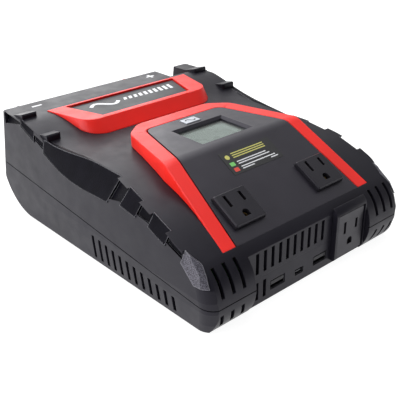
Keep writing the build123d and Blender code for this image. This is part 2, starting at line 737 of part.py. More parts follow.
def socket_contacts(face):
    """Brass leaves that grip the blades, and the earth sleeve."""
    inside = face.offset(-CONTACT_SPAN[0])
    length = CONTACT_SPAN[1] - CONTACT_SPAN[0]
    with BuildPart() as leaves:
        for x in (-BLADE_PITCH / 2, BLADE_PITCH / 2):
            with BuildSketch(inside):
                with Locations((x, 0)):
                    Rectangle(BLADE_WIDTH, LIVE_HEIGHT)
                    Rectangle(BLADE_WIDTH - 0.9, LIVE_HEIGHT + 1, mode=Mode.SUBTRACT)
            extrude(amount=-length)
            with BuildSketch(inside.offset(-length + 0.6)):
                with Locations((x, 0)):
                    Rectangle(BLADE_WIDTH, LIVE_HEIGHT)
            extrude(amount=-0.6)
        with BuildSketch(inside):
            with Locations((0, -GROUND_DROP)):
                Circle(EARTH_RADIUS)
                Circle(EARTH_RADIUS - 0.4, mode=Mode.SUBTRACT)
        extrude(amount=-length)
    return leaves.part


front_face = Plane(origin=(FRONT_SOCKET_X, back(FRONT_SOCKET_FACE),
                           FRONT_SOCKET_Z + FRONT_SOCKET_SHIFT),
                   x_dir=(1, 0, 0), z_dir=(0, -1, 0))
slope_depth = SOCKET_DEPTH + SOCKET_PROUD
SOCKETS = {"left": (slope_plane(-SOCKET_X).offset(SOCKET_PROUD), SOCKET_SIZE, SOCKET_SHIFT,
                    slope_depth),
           "right": (slope_plane(SOCKET_X).offset(SOCKET_PROUD), SOCKET_SIZE, SOCKET_SHIFT,
                     slope_depth),
           "front": (front_face, FRONT_SOCKET_SIZE, FRONT_SOCKET_SHIFT, SOCKET_DEPTH)}
for place, (face, size, shift, depth) in SOCKETS.items():
    with BuildPart() as socket:
        add(socket_body(face, size, shift, depth))
    export(socket, f"{place}_socket")
    with BuildPart() as contacts:
        add(socket_contacts(face))
    export(contacts, f"{place}_socket_contacts")

with BuildPart() as front_socket_surround:
    with BuildSketch(Plane.YZ.offset(SURROUND_X[0])):
        with BuildLine():
            foot, top = SURROUND_Z
            Polyline((back(0), foot), (back(SURROUND_FACE + 0.8), foot),
                     (back(SURROUND_FACE), foot + 1), (back(SURROUND_FACE), top - 6))
            RadiusArc((back(SURROUND_FACE), top - 6), (back(0), top), 9)
            Line((back(0), top), (back(0), foot))
        make_face()
    extrude(amount=SURROUND_X[1] - SURROUND_X[0])
    plate_x = around(FRONT_SOCKET_X, FRONT_SOCKET_SIZE[0])
    plate_z = around(FRONT_SOCKET_Z, FRONT_SOCKET_SIZE[1])
    add(block(widened(plate_x, SURROUND_GAP), (-FAR, -1.5), (0, plate_z[1] + SURROUND_GAP)),
        mode=Mode.SUBTRACT)
    add(block(plate_x, (-FAR, FAR), plate_z), mode=Mode.SUBTRACT)
export(front_socket_surround, "front_socket_surround")


# ---- front ports --------------------------------------------------------------------
with BuildPart() as usb_board:
    add(block(PORT_BOARD_X, (3, 20), (PORT_FLOOR_Z - BOARD_THICK, PORT_FLOOR_Z)))
export(usb_board, "usb_board")

with BuildPart() as usb_ports:
    for x in USB_X:
        add(port_block(x, USB_SIZE, (PORT_SUNK, 14)))
        add(port_block(x, USB_SIZE, (-1, 13), PORT_SHELL), mode=Mode.SUBTRACT)
export(usb_ports, "usb_ports")

with BuildPart() as usb_tongues:
    for x in USB_X:
        top = PORT_FLOOR_Z + USB_SIZE[1]
        add(block(around(x - 0.4, TONGUE_WIDTH), (0.1, 13), (top - 3.4, top - 0.8)))
        add(port_block(x, USB_SIZE, (11, 13), PORT_SHELL))
export(usb_tongues, "usb_tongues")

with BuildPart() as remote_port:
    add(port_block(REMOTE_X, REMOTE_SIZE, (PORT_SUNK, 9)))
    add(port_block(REMOTE_X, REMOTE_SIZE, (-1, 7), PORT_SHELL), mode=Mode.SUBTRACT)
    add(block(around(REMOTE_X, 5.2), (1, 7.5), (PORT_FLOOR_Z + 1.8, PORT_FLOOR_Z + 2.6)))
export(remote_port, "remote_port")


# ---- main board and what stands on it -----------------------------------------------
with BuildPart() as main_board:
    add(block((-BOARD_HALF_WIDTH, BOARD_HALF_WIDTH), BOARD_SPAN, (BOARD_Z, BOARD_TOP)))
    for x, distance in pairs(STANDOFFS):
        add(post(x, distance, (BOARD_Z - 1, BOARD_TOP + 1), BOARD_SCREW_R + 0.1),
            mode=Mode.SUBTRACT)
export(main_board, "main_board")

with BuildPart() as board_screws:
    for x, distance in pairs(STANDOFFS):
        add(post(x, distance, (4.6, BOARD_TOP), BOARD_SCREW_R))
        add(post(x, distance, (BOARD_TOP, BOARD_TOP + 1.8), 2.4))
export(board_screws, "board_screws")


def heat_sink(side):
    """Finned extrusion that stands in the floor rails, fins outwards."""
    with BuildPart() as sink:
        add(block(on_side(side, SINK_BASE), SINK_SPAN, (FLOOR_Z + WALL, 50)))
        for index in range(SINK_FINS):
            z = 12 + index * 6
            add(block(on_side(side, (71, 84)), SINK_SPAN, (z, z + 1.6)))
    return sink.part


for side, place in ((-1, "left"), (1, "right")):
    with BuildPart() as sink_part:
        add(heat_sink(side))
    export(sink_part, f"{place}_heat_sink")

with BuildPart() as power_transistors:
    for side in (-1, 1):
        for distance in TRANSISTORS:
            add(block(on_side(side, (63.4, SINK_BASE[0])), around(distance, 10), (22, 37)))
            for shift in (-2.5, 0, 2.5):
                add(block(on_side(side, (65, 65.6)), around(distance + shift, 0.8),
                          (BOARD_TOP, 22.5)))
export(power_transistors, "power_transistors")

with BuildPart() as transformer_cores:
    for x, distance in TRANSFORMERS:
        wide, deep, high = CORE_SIZE
        z = BOARD_TOP + 2
        add(block(around(x, wide), around(distance, deep), (z, z + high)))
        for side in (-1, 1):
            add(block(around(x + 11 * side, 10), around(distance, deep + 2),
                      (z + 6, z + high - 6)), mode=Mode.SUBTRACT)
export(transformer_cores, "transformer_cores")

with BuildPart() as transformer_windings:
    for x, distance in TRANSFORMERS:
        z = BOARD_TOP + 2
        with BuildSketch(Plane.XY.offset(z + 6.4)):
            with Locations((x, back(distance))):
                RectangleRounded(31, 38, 8)
                Rectangle(12.6, 18.6, mode=Mode.SUBTRACT)
        extrude(amount=CORE_SIZE[2] - 12.8)
        for shift in (-13, 13):
            add(block(around(x, 24), around(distance + shift, 4), (BOARD_TOP, z + 7)))
export(transformer_windings, "transformer_windings")

with BuildPart() as capacitors:
    for x, distance, radius, height in CAPACITORS:
        add(post(x, distance, (BOARD_TOP, BOARD_TOP + height), radius))
    fillet(capacitors.edges().filter_by(GeomType.CIRCLE).filter_by(
        lambda edge: edge.center().Z > BOARD_TOP + 5), 1.0)
export(capacitors, "capacitors")

with BuildPart() as output_choke:
    with Locations((24, back(134), BOARD_TOP + 7)):
        Torus(13, 7)
export(output_choke, "output_choke")

with BuildPart() as fuses:
    for index in range(3):
        x = 34 + 9 * index
        add(block(around(x, 4), (168, 186), (BOARD_TOP, BOARD_TOP + 12)))
        add(block(around(x, 5.2), (166.5, 187.5), (BOARD_TOP + 12, BOARD_TOP + 15)))
export(fuses, "fuses")


# ---- rear panel, fan and terminals --------------------------------------------------
TERMINALS = {"negative": NEGATIVE_X, "positive": POSITIVE_X}
PANEL_REAR = REAR_PANEL_BACK + WALL
FAN_FRONT = REAR_PANEL_BACK - FAN_DEPTH
THROUGH_PANEL = (REAR_PANEL_BACK - 9, PANEL_REAR + 9)


def fan_corners():
    half = FAN_HOLE_PITCH / 2
    return [(FAN_X + i * half, FAN_Z + j * half) for i in (-1, 1) for j in (-1, 1)]


with BuildPart() as rear_panel:
    add(rear_panel_zone)
    add(rod(FAN_X, THROUGH_PANEL, FAN_Z, FAN_BORE), mode=Mode.SUBTRACT)
    for x, z in fan_corners():
        add(rod(x, THROUGH_PANEL, z, FAN_HOLE_R), mode=Mode.SUBTRACT)
    for x in TERMINALS.values():
        add(rod(x, THROUGH_PANEL, TERMINAL_Z, NECK_RADIUS), mode=Mode.SUBTRACT)
export(rear_panel, "rear_panel")

with BuildPart() as fan_frame:
    add(block(around(FAN_X, FAN_SIZE), (FAN_FRONT, REAR_PANEL_BACK), around(FAN_Z, FAN_SIZE)))
    fillet(fan_frame.edges().filter_by(Axis.Y), 4)
    add(rod(FAN_X, (FAN_FRONT - 1, REAR_PANEL_BACK + 1), FAN_Z, FAN_BORE), mode=Mode.SUBTRACT)
    for x, z in fan_corners():
        add(rod(x, (FAN_FRONT - 1, REAR_PANEL_BACK + 1), z, FAN_HOLE_R - 0.1),
            mode=Mode.SUBTRACT)
    for angle in (30, 150, 270):
        with Locations(Location((FAN_X, back(FAN_FRONT + 1.5), FAN_Z), (0, angle, 0))):
            with Locations((20, 0, 0)):
                Box(18, 3, 4)
    add(rod(FAN_X, (FAN_FRONT, FAN_FRONT + 4), FAN_Z, 12))
    add(rod(FAN_X, (FAN_FRONT - 1, FAN_FRONT + 5), FAN_Z, FAN_SHAFT_R + FIT),
        mode=Mode.SUBTRACT)
export(fan_frame, "fan_frame")

with BuildPart() as fan_rotor:
    add(rod(FAN_X, (FAN_FRONT + 4.4, REAR_PANEL_BACK - 1), FAN_Z, 13.5))
    fillet(fan_rotor.edges().sort_by(Axis.Y)[-1], 1.5)
    add(rod(FAN_X, (FAN_FRONT + 0.5, FAN_FRONT + 5), FAN_Z, FAN_SHAFT_R))
    middle = back(FAN_FRONT + 11.5)
    for index in range(FAN_BLADES):
        angle = 360 / FAN_BLADES * index
        with Locations(Location((FAN_X, middle, FAN_Z), (0, angle, 0))):
            with Locations(Location((20.1, 0, 0), (38, 0, 0))):
                Box(14.2, 14, 1.5)
export(fan_rotor, "fan_rotor")

with BuildPart() as fan_guard:
    spoke_end = FAN_HOLE_PITCH / sqrt(2) - 2.6
    with BuildSketch(section_plane(PANEL_REAR)):
        with Locations(fan_corners()):
            Circle(4)
            Circle(FAN_HOLE_R, mode=Mode.SUBTRACT)
        for angle in (45, 135, 225, 315):
            middle = (GUARD_RINGS[0] + spoke_end) / 2
            centre = (FAN_X + middle * cos(radians(angle)), FAN_Z + middle * sin(radians(angle)))
            with Locations(Location((*centre, 0), angle)):
                Rectangle(spoke_end - GUARD_RINGS[0], GUARD_WIRE)
        for radius in GUARD_RINGS:
            with BuildSketch(mode=Mode.PRIVATE) as ring:
                with Locations((FAN_X, FAN_Z)):
                    Circle(radius + GUARD_WIRE / 2)
                    Circle(radius - GUARD_WIRE / 2, mode=Mode.SUBTRACT)
            add(ring.sketch)
    extrude(amount=-GUARD_WIRE)
export(fan_guard, "fan_guard")

with BuildPart() as fan_screws:
    for x, z in fan_corners():
        add(rod(x, (FAN_FRONT + 2, PANEL_REAR + GUARD_WIRE), z, FAN_HOLE_R - 0.1))
        add(rod(x, (PANEL_REAR + GUARD_WIRE, PANEL_REAR + GUARD_WIRE + 2.2), z, 3.6))
export(fan_screws, "fan_screws")

for name, x in TERMINALS.items():
    with BuildPart() as collar:
        add(rod(x, (PANEL_REAR, COLLAR_END), TERMINAL_Z, COLLAR_RADIUS))
        chamfer(collar.faces().sort_by(Axis.Y)[-1].edges(), 1.0)
        add(rod(x, (224, PANEL_REAR + 1), TERMINAL_Z, NECK_RADIUS))
        add(rod(x, (200, 260), TERMINAL_Z, STUD_RADIUS), mode=Mode.SUBTRACT)
    export(collar, f"{name}_collar")

    with BuildPart() as washer:
        add(rod(x, (COLLAR_END, COLLAR_END + WASHER_THICK), TERMINAL_Z, 9))
        add(rod(x, (200, 260), TERMINAL_Z, STUD_RADIUS + FIT), mode=Mode.SUBTRACT)
    export(washer, f"{name}_washer")

    with BuildPart() as knob:
        add(rod(x, (COLLAR_END + WASHER_THICK, KNOB_END), TERMINAL_Z, KNOB_RADIUS))
        chamfer(knob.faces().sort_by(Axis.Y)[-1].edges(), 1.5)
        for index in range(10):
            angle = radians(36 * index)
            groove_x = x + (KNOB_RADIUS + 1.2) * cos(angle)
            groove_z = TERMINAL_Z + (KNOB_RADIUS + 1.2) * sin(angle)
            add(rod(groove_x, (COLLAR_END + 5, KNOB_END + 1), groove_z, 2.4), mode=Mode.SUBTRACT)
        add(rod(x, (COLLAR_END, STUD_SPAN[1] + 1), TERMINAL_Z, STUD_RADIUS + FIT),
            mode=Mode.SUBTRACT)
    export(knob, f"{name}_knob")

with BuildPart() as terminal_studs:
    for x in TERMINALS.values():
        add(rod(x, STUD_SPAN, TERMINAL_Z, STUD_RADIUS))
export(terminal_studs, "terminal_studs")

with BuildPart() as stud_nuts:
    for x in TERMINALS.values():
        with BuildSketch(section_plane(219.5)):
            with Locations((x, TERMINAL_Z)):
                RegularPolygon(7.5, 6)
                Circle(STUD_RADIUS, mode=Mode.SUBTRACT)
        extrude(amount=-4.5)
export(stud_nuts, "stud_nuts")

with BuildPart() as bus_straps:
    for x, foot in ((NEGATIVE_X, (-74, -50)), (POSITIVE_X, (34, 50))):
        add(block(around(x, 12), (217.5, 219.5), (BOARD_TOP, 71)))
        add(block(foot, (188, 219.5), (BOARD_TOP, BOARD_TOP + 2)))
        add(rod(x, (200, 230), TERMINAL_Z, STUD_RADIUS), mode=Mode.SUBTRACT)
    for x, distance in pairs(STANDOFFS):
        add(post(x, distance, (BOARD_TOP, BOARD_TOP + 3), 2.8), mode=Mode.SUBTRACT)
export(bus_straps, "bus_straps")


# ---- power switch -------------------------------------------------------------------
def switch_block(size, z_span):
    """Box of a size (across, along) that stands over the switch's middle."""
    return block(around(SWITCH_X, size[0]), around(SWITCH_BACK, size[1]), z_span)


with BuildPart() as switch_body:
    add(switch_block(SWITCH_FLANGE, (POCKET_FLOOR, POCKET_FLOOR + 1.6)))
    chamfer(switch_body.faces().sort_by(Axis.Z)[-1].edges(), 0.6)
    add(switch_block(SWITCH_NECK, (50, POCKET_FLOOR + 1)))
    add(switch_block(SWITCH_WELL, (57, SKY)), mode=Mode.SUBTRACT)
    with BuildSketch(Plane.YZ.offset(SWITCH_X)):
        with Locations((back(SWITCH_BACK), ROCKER_PIVOT_Z)):
            Circle(PIN_RADIUS + FIT)
    extrude(amount=7.6, both=True, mode=Mode.SUBTRACT)
    for shift in (-8, 0, 8):
        add(block(around(SWITCH_X, 4.8), around(SWITCH_BACK + shift, 0.8), (42, 50)))
export(switch_body, "switch_body")

rocker_pivot = (0, back(SWITCH_BACK), ROCKER_PIVOT_Z)
tilt = radians(ROCKER_TILT)
with BuildPart() as power_rocker:
    with BuildSketch(Plane(origin=rocker_pivot, x_dir=(0, cos(tilt), sin(tilt)), z_dir=(1, 0, 0))
                     .offset(SWITCH_X)):
        with BuildLine():
            Polyline((-5, -5), (-9.4, 0), (-9.4, 5.4), (0, 3.6), (9.4, 5.4), (9.4, 0),
                     (5, -5), close=True)
        make_face()
    extrude(amount=ROCKER_WIDTH / 2, both=True)
    fillet(power_rocker.edges().filter_by(Axis.X).sort_by(Axis.Z)[-3:-1], 0.8)
    with BuildSketch(Plane.YZ.offset(SWITCH_X)):
        with Locations((back(SWITCH_BACK), ROCKER_PIVOT_Z)):
            Circle(PIN_RADIUS)
    extrude(amount=7.5, both=True)
export(power_rocker, "power_rocker")


# ---- fasteners and feet -------------------------------------------------------------
with BuildPart() as case_screws:
    for x, distance in pairs(CASE_SCREWS):
        add(post(x, distance, (3.4, 6), CASE_HEAD_R))
        add(post(x, distance, (6, seam_z(distance) + 12), CASE_SCREW_R))
export(case_screws, "case_screws")

with BuildPart() as rubber_feet:
    for x, distance in pairs(FEET):
        add(post(x, distance, (0, FLOOR_Z + 1), FOOT_RADIUS))
    chamfer(rubber_feet.faces().group_by(Axis.Z)[0].edges(), 0.4)
export(rubber_feet, "rubber_feet")
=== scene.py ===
"""Looks of a power inverter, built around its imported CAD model. Metres, +Z up, front towards -Y."""

from math import cos, pi, radians, sin, tan

import bmesh
import bpy
from mathutils import Matrix, Vector

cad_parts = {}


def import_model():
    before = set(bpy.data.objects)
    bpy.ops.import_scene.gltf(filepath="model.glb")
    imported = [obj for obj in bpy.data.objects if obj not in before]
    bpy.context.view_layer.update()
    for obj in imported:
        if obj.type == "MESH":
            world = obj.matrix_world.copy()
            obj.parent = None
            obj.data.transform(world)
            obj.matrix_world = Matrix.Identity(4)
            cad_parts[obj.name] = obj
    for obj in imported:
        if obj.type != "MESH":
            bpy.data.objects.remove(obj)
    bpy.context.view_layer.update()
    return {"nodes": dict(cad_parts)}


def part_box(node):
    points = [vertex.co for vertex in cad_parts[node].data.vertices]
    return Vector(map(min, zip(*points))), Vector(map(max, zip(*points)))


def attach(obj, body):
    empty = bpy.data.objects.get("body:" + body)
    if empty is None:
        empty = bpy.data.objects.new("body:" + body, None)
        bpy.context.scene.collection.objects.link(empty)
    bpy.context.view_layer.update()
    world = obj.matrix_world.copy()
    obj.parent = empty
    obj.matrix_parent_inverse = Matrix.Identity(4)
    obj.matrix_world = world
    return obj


MM = 0.001
WHITE = (1, 1, 1, 1)
COOL = (0.93, 0.90, 1.0, 1.0)       # mouldings reflect slightly violet light
MIDDLE = (0.3, 0.7)                 # most of a noise lies in this range
CLOUDY = (0.35, 0.75)               # the upper part of a noise, for haze and tarnish
MIX_SHARE = 0                       # sockets of the mix node when it mixes colours
MIX_FIRST = 6
MIX_SECOND = 7
MIX_RESULT = 2
WAVE_PERIOD = pi / 10               # length of one band of the wave texture at scale 1
ACRYLIC_IOR = 1.49
EDGE_SAMPLES = 4                    # rays for each softened normal
EDGE_FACING = (0.995, 0.86)         # how well the normals agree, from no edge to a full edge
NOSE_Y = (-106 * MM, -112 * MM)     # the guards get painted glints and more gloss between these
# painted glints: lighter colour for single facets of the guards at the nose
PAINTED_GLINT_COLOUR = (0.13, 0.125, 0.155, 1.0)
# paler colour for the guards' edges: partly rubbed wear, partly painted highlight
WEAR_AND_GLINT_COLOUR = (0.30, 0.30, 0.33, 1.0)
PRINT = 0.05 * MM                   # thickness of printed ink
FILM_THICKNESS = 0.12 * MM          # thickness of the clear film under the legend
WELD_REACH = 0.002 * MM

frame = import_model()
nodes = frame["nodes"]


# ---- building blocks for materials ---------------------------------------------------
class Finish:
    """A node material around one Principled shader, with helpers that add and wire nodes."""

    def __init__(self, name, colour, roughness, metallic=0.0):
        self.material = bpy.data.materials.new(name)
        self.material.use_nodes = True
        self.material.diffuse_color = (*colour, 1.0)
        self.tree = self.material.node_tree
        self.shader = self.tree.nodes["Principled BSDF"]
        self.output = self.tree.nodes["Material Output"]
        self.place = self.add("ShaderNodeTexCoord").outputs["Object"]
        self.set("Base Color", (*colour, 1.0))
        self.set("Roughness", roughness)
        self.set("Metallic", metallic)

    def add(self, kind, options=None, **inputs):
        """Adds a node; each input is a value or another node's output."""
        made = self.tree.nodes.new(kind)
        for option, value in (options or {}).items():
            setattr(made, option, value)
        for name, value in inputs.items():
            self.join(made.inputs[name.replace("_", " ")], value)
        return made

    def join(self, socket, value):
        if isinstance(value, bpy.types.NodeSocket):
            self.tree.links.new(value, socket)
        else:
            socket.default_value = value

    def set(self, name, value):
        self.join(self.shader.inputs[name], value)

    def maths(self, operation, first, second=0.0):
        made = self.add("ShaderNodeMath", {"operation": operation})
        self.join(made.inputs[0], first)
        self.join(made.inputs[1], second)
        return made.outputs[0]

    def spread(self, value, low, high, to_low=0.0, to_high=1.0):
        """Maps low..high onto to_low..to_high and holds the ends."""
        made = self.add("ShaderNodeMapRange", Value=value, From_Min=low, From_Max=high,
                        To_Min=to_low, To_Max=to_high)
        return made.outputs[0]

    def stretched(self, stretch):
        return self.add("ShaderNodeMapping", Vector=self.place, Scale=stretch).outputs[0]

    def noise(self, size, detail=2.0, stretch=None):
        """Cloudy noise whose features are about this size in metres."""
        where = self.stretched(stretch) if stretch else self.place
        return self.add("ShaderNodeTexNoise", Vector=where, Scale=1 / size,
                        Detail=detail).outputs[0]

    def cells(self, size):
        """Distance to the middle of the nearest of many grains of this size."""
        return self.add("ShaderNodeTexVoronoi", Vector=self.place, Scale=1 / size).outputs[0]

    def blend(self, share, first, second):
        """Colour between two colours."""
        made = self.add("ShaderNodeMix", {"data_type": "RGBA"})
        self.join(made.inputs[MIX_SHARE], share)
        self.join(made.inputs[MIX_FIRST], first)
        self.join(made.inputs[MIX_SECOND], second)
        return made.outputs[MIX_RESULT]

    def rounded(self, radius):
        """Surface normal with the hard edges softened over a radius."""
        return self.add("ShaderNodeBevel", {"samples": EDGE_SAMPLES}, Radius=radius).outputs[0]

    def bump(self, height, depth, normal=None):
        made = self.add("ShaderNodeBump", Height=height, Distance=depth, Strength=1.0)
        if normal is not None:
            self.join(made.inputs["Normal"], normal)
        return made.outputs[0]

    def edges(self, radius):
        """1 on hard edges, 0 elsewhere."""
        true_normal = self.add("ShaderNodeNewGeometry").outputs["True Normal"]
        facing = self.add("ShaderNodeVectorMath", {"operation": "DOT_PRODUCT"})
        self.join(facing.inputs[0], self.rounded(radius))
        self.join(facing.inputs[1], true_normal)
        return self.spread(facing.outputs["Value"], *EDGE_FACING)


def shade(colour, factor):
    """The colour made darker or lighter, with full cover."""
    return tuple(min(1.0, channel * factor) for channel in colour) + (1.0,)


# ---- families of finish ----------------------------------------------------------------
def moulded(name, colour, roughness, grain=0.45 * MM, depth=0.02 * MM, wear=0.3,
            edge=0.5 * MM, mottle=0.12, gleam=0.24):
    """Moulded plastic: eroded grain, faint flow marks and rubbed, paler edges."""
    finish = Finish(name, colour, roughness)
    flow = finish.noise(38 * MM, 3.0)
    base = finish.blend(finish.spread(flow, *MIDDLE), shade(colour, 1 - mottle),
                        shade(colour, 1 + mottle))
    scuffs = finish.spread(finish.noise(4 * MM, 4.0, (1, 0.3, 1)), 0.45, 0.7)
    rubbed = finish.maths("MULTIPLY", finish.edges(edge), scuffs)
    rubbed = finish.maths("MULTIPLY", rubbed, wear)
    pale = tuple(channel * 0.8 + 0.05 for channel in colour) + (1.0,)
    finish.set("Base Color", finish.blend(rubbed, base, pale))
    patches = finish.spread(finish.noise(11 * MM, 3.0), *MIDDLE, roughness - 0.05,
                            roughness + 0.07)
    finish.set("Roughness", patches)
    pits = finish.noise(grain, 2.0)
    finish.set("Normal", finish.bump(pits, depth, finish.rounded(edge)))
    finish.set("Specular IOR Level", gleam)
    finish.set("Specular Tint", COOL)
    return finish


def sparkle(name, colour):
    """Coarse eroded texture with painted glints on single facets at the nose, and paler edges that
    are part rubbed wear, part painted highlight.
    """
    finish = Finish(name, colour, 0.42)
    grains = finish.cells(0.9 * MM)
    fine = finish.noise(0.5 * MM, 3.0)
    height = finish.maths("ADD", finish.maths("MULTIPLY", grains, 0.7), fine)
    finish.set("Normal", finish.bump(height, 0.1 * MM, finish.rounded(0.35 * MM)))
    along = finish.add("ShaderNodeSeparateXYZ", Vector=finish.place).outputs["Y"]
    nose = finish.spread(along, *NOSE_Y)
    flow = finish.spread(finish.noise(9 * MM, 3.0), *MIDDLE)
    base = finish.blend(flow, shade(colour, 0.8), shade(colour, 1.25))
    # painted glints: scattered facets at the nose turn lighter, standing in for facets that catch the
    # light
    painted_glints = finish.maths("MULTIPLY", finish.spread(fine, 0.38, 0.62), nose)
    base = finish.blend(painted_glints, base, PAINTED_GLINT_COLOUR)
    # hard edges of the guards: a paler colour that is partly rubbed wear, partly painted highlight,
    # plus more gloss
    rubbed = finish.edges(0.8 * MM)
    wear_and_glint_share = finish.maths("MULTIPLY", rubbed, 0.6)
    finish.set("Base Color", finish.blend(wear_and_glint_share, base, WEAR_AND_GLINT_COLOUR))
    finish.set("Roughness", finish.spread(fine, *MIDDLE, 0.34, 0.5))
    bright = finish.maths("MAXIMUM", nose, rubbed)
    finish.set("Specular IOR Level", finish.spread(bright, 0.0, 1.0, 0.05, 0.45))
    finish.set("Specular Tint", COOL)
    return finish


def drawn_metal(name, colour, roughness, stretch=(1, 0.05, 1), scratch=0.35 * MM, tarnish=0.2):
    """Metal with fine drawing lines, softened edges and slight tarnish."""
    finish = Finish(name, colour, roughness, metallic=1.0)
    lines = finish.noise(scratch, 3.0, stretch)
    clouds = finish.spread(finish.noise(6 * MM, 4.0), *CLOUDY)
    dull = finish.maths("MULTIPLY", clouds, tarnish)
    finish.set("Base Color", finish.blend(dull, shade(colour, 1.0), shade(colour, 0.45)))
    finish.set("Roughness", finish.spread(lines, *MIDDLE, roughness - 0.06, roughness + 0.1))
    finish.set("Normal", finish.bump(lines, 0.01 * MM, finish.rounded(0.25 * MM)))
    return finish


def circuit_board(name, colour):
    """Solder resist over a grid of copper tracks, with tinned pads."""
    finish = Finish(name, colour, 0.35)
    tracks = finish.add("ShaderNodeTexBrick", Vector=finish.place, Scale=180.0,
                        Mortar_Size=0.06, Color1=(1, 1, 1, 1), Color2=(0.8, 0.8, 0.8, 1),
                        Mortar=(0, 0, 0, 1)).outputs["Fac"]
    finish.set("Base Color", finish.blend(tracks, shade(colour, 1.0), shade(colour, 1.9)))
    pads = finish.spread(finish.cells(5 * MM), 0.12, 0.09)
    finish.set("Metallic", pads)
    finish.set("Roughness", finish.spread(finish.noise(2 * MM), *MIDDLE, 0.25, 0.45))
    finish.set("Normal", finish.bump(tracks, 0.03 * MM))
    return finish


def wound(name, colour, pitch, metallic, axis="Z"):
    """Turns of wire or tape, one ridge for each turn."""
    finish = Finish(name, colour, 0.35, metallic)
    wave = finish.add("ShaderNodeTexWave", {"bands_direction": axis}, Vector=finish.place,
                      Scale=WAVE_PERIOD / pitch, Distortion=0.6, Detail=1.0).outputs["Fac"]
    # painted shade in the grooves between turns and painted highlight on their crests, following the
    # ridges
    finish.set("Base Color", finish.blend(wave, shade(colour, 0.55), shade(colour, 1.15)))
    finish.set("Roughness", finish.spread(finish.noise(3 * MM), *MIDDLE, 0.25, 0.42))
    finish.set("Normal", finish.bump(wave, 0.2 * MM))
    return finish


def window(name, colour):
    """Clear acrylic that lets light straight through, so that the display behind it stays lit."""
    finish = Finish(name, colour, 0.08)
    haze = finish.spread(finish.noise(7 * MM, 4.0), *CLOUDY, 0.05, 0.14)
    film = finish.noise(16 * MM, 2.0)
    finish.set("Roughness", haze)
    finish.set("Normal", finish.bump(film, 0.02 * MM))
    clear = finish.add("ShaderNodeBsdfTransparent", Color=(0.93, 0.97, 0.95, 1.0))
    edge_on = finish.add("ShaderNodeFresnel", IOR=ACRYLIC_IOR).outputs[0]
    mixed = finish.add("ShaderNodeMixShader")
    finish.join(mixed.inputs[0], finish.maths("ADD", edge_on, 0.05))
    finish.join(mixed.inputs[1], clear.outputs[0])
    finish.join(mixed.inputs[2], finish.shader.outputs[0])
    finish.join(finish.output.inputs["Surface"], mixed.outputs[0])
    return finish


def display(name, colour):
    """Unlit display glass: polariser tint, faint row lines and soft clouding."""
    finish = Finish(name, colour, 0.3)
    rows = finish.add("ShaderNodeTexWave", {"bands_direction": "Y"}, Vector=finish.place,
                      Scale=350.0).outputs["Fac"]
    clouds = finish.noise(14 * MM, 2.0)
    tint = finish.maths("ADD", finish.maths("MULTIPLY", rows, 0.25), clouds)
    finish.set("Base Color", finish.blend(tint, shade(colour, 0.9), shade(colour, 1.12)))
    finish.set("Roughness", finish.spread(clouds, *MIDDLE, 0.24, 0.36))
    finish.set("Normal", finish.bump(rows, 0.004 * MM))
    return finish


def ink(name, colour):
    """Screen-printed ink: slight pinholes and uneven cover."""
    finish = Finish(name, colour, 0.5)
    cover = finish.spread(finish.noise(0.8 * MM, 3.0), 0.25, 0.4)
    finish.set("Base Color", finish.blend(cover, shade(colour, 0.8), shade(colour, 1.0)))
    finish.set("Roughness", finish.spread(cover, 0.0, 1.0, 0.6, 0.45))
    finish.set("Normal", finish.bump(cover, 0.01 * MM))
    return finish


FINISHES = {
    "black_shell": moulded("black_shell_finish", (0.0105, 0.0098, 0.0150), 0.38),
    "guard_black": sparkle("guard_finish", (0.0040, 0.0038, 0.0065)),
    "red_shell": moulded("red_shell_finish", (0.96, 0.021, 0.012), 0.38, grain=0.3 * MM,
                         depth=0.008 * MM, wear=0.12, edge=0.9 * MM, mottle=0.05, gleam=0.4),
    "panel_black": moulded("panel_finish", (0.0150, 0.0135, 0.0200), 0.36, depth=0.015 * MM,
                           gleam=0.6),
    "label_grey": moulded("label_finish", (0.022, 0.025, 0.029), 0.34, depth=0.008 * MM,
                          gleam=0.15),
    "socket_black": moulded("socket_finish", (0.0140, 0.0132, 0.0175), 0.34, depth=0.01 * MM,
                             gleam=0.4),
    "black_plastic": moulded("knob_black_finish", (0.009, 0.009, 0.010), 0.28),
    "red_plastic": moulded("knob_red_finish", (0.62, 0.012, 0.010), 0.3, wear=0.15),
    "fan_black": moulded("fan_finish", (0.014, 0.014, 0.015), 0.45),
    "port_plastic": moulded("port_finish", (0.03, 0.03, 0.032), 0.45),
    "component_black": moulded("component_finish", (0.02, 0.02, 0.02), 0.5),
    "ferrite": moulded("ferrite_finish", (0.05, 0.05, 0.055), 0.6, grain=0.25 * MM),
    "fuse_plastic": moulded("fuse_finish", (0.75, 0.28, 0.03), 0.25),
    "capacitor_sleeve": moulded("sleeve_finish", (0.03, 0.045, 0.13), 0.28),
    "rubber": moulded("rubber_finish", (0.018, 0.018, 0.018), 0.75, depth=0.05 * MM),
    "brass": drawn_metal("brass_finish", (0.78, 0.52, 0.20), 0.26),
    "steel": drawn_metal("steel_finish", (0.60, 0.60, 0.62), 0.28),
    "chrome": drawn_metal("chrome_finish", (0.74, 0.74, 0.76), 0.14, tarnish=0.1),
    "aluminium": drawn_metal("aluminium_finish", (0.72, 0.73, 0.75), 0.34),
    "badge_silver": drawn_metal("badge_finish", (0.50, 0.52, 0.57), 0.36, (0.05, 1, 1)),
    "copper": wound("copper_finish", (0.72, 0.30, 0.14), 0.754 * MM, 0.9, "DIAGONAL"),
    "winding_tape": wound("tape_finish", (0.72, 0.52, 0.08), 1.508 * MM, 0.0),
    "pcb_green": circuit_board("board_finish", (0.015, 0.11, 0.045)),
    "lens_clear": window("window_finish", (0.5, 0.52, 0.51)),
    "lcd_grey": display("display_finish", (0.66, 0.70, 0.69)),
    "port_metal": drawn_metal("port_metal_finish", (0.10, 0.10, 0.11), 0.35),
}
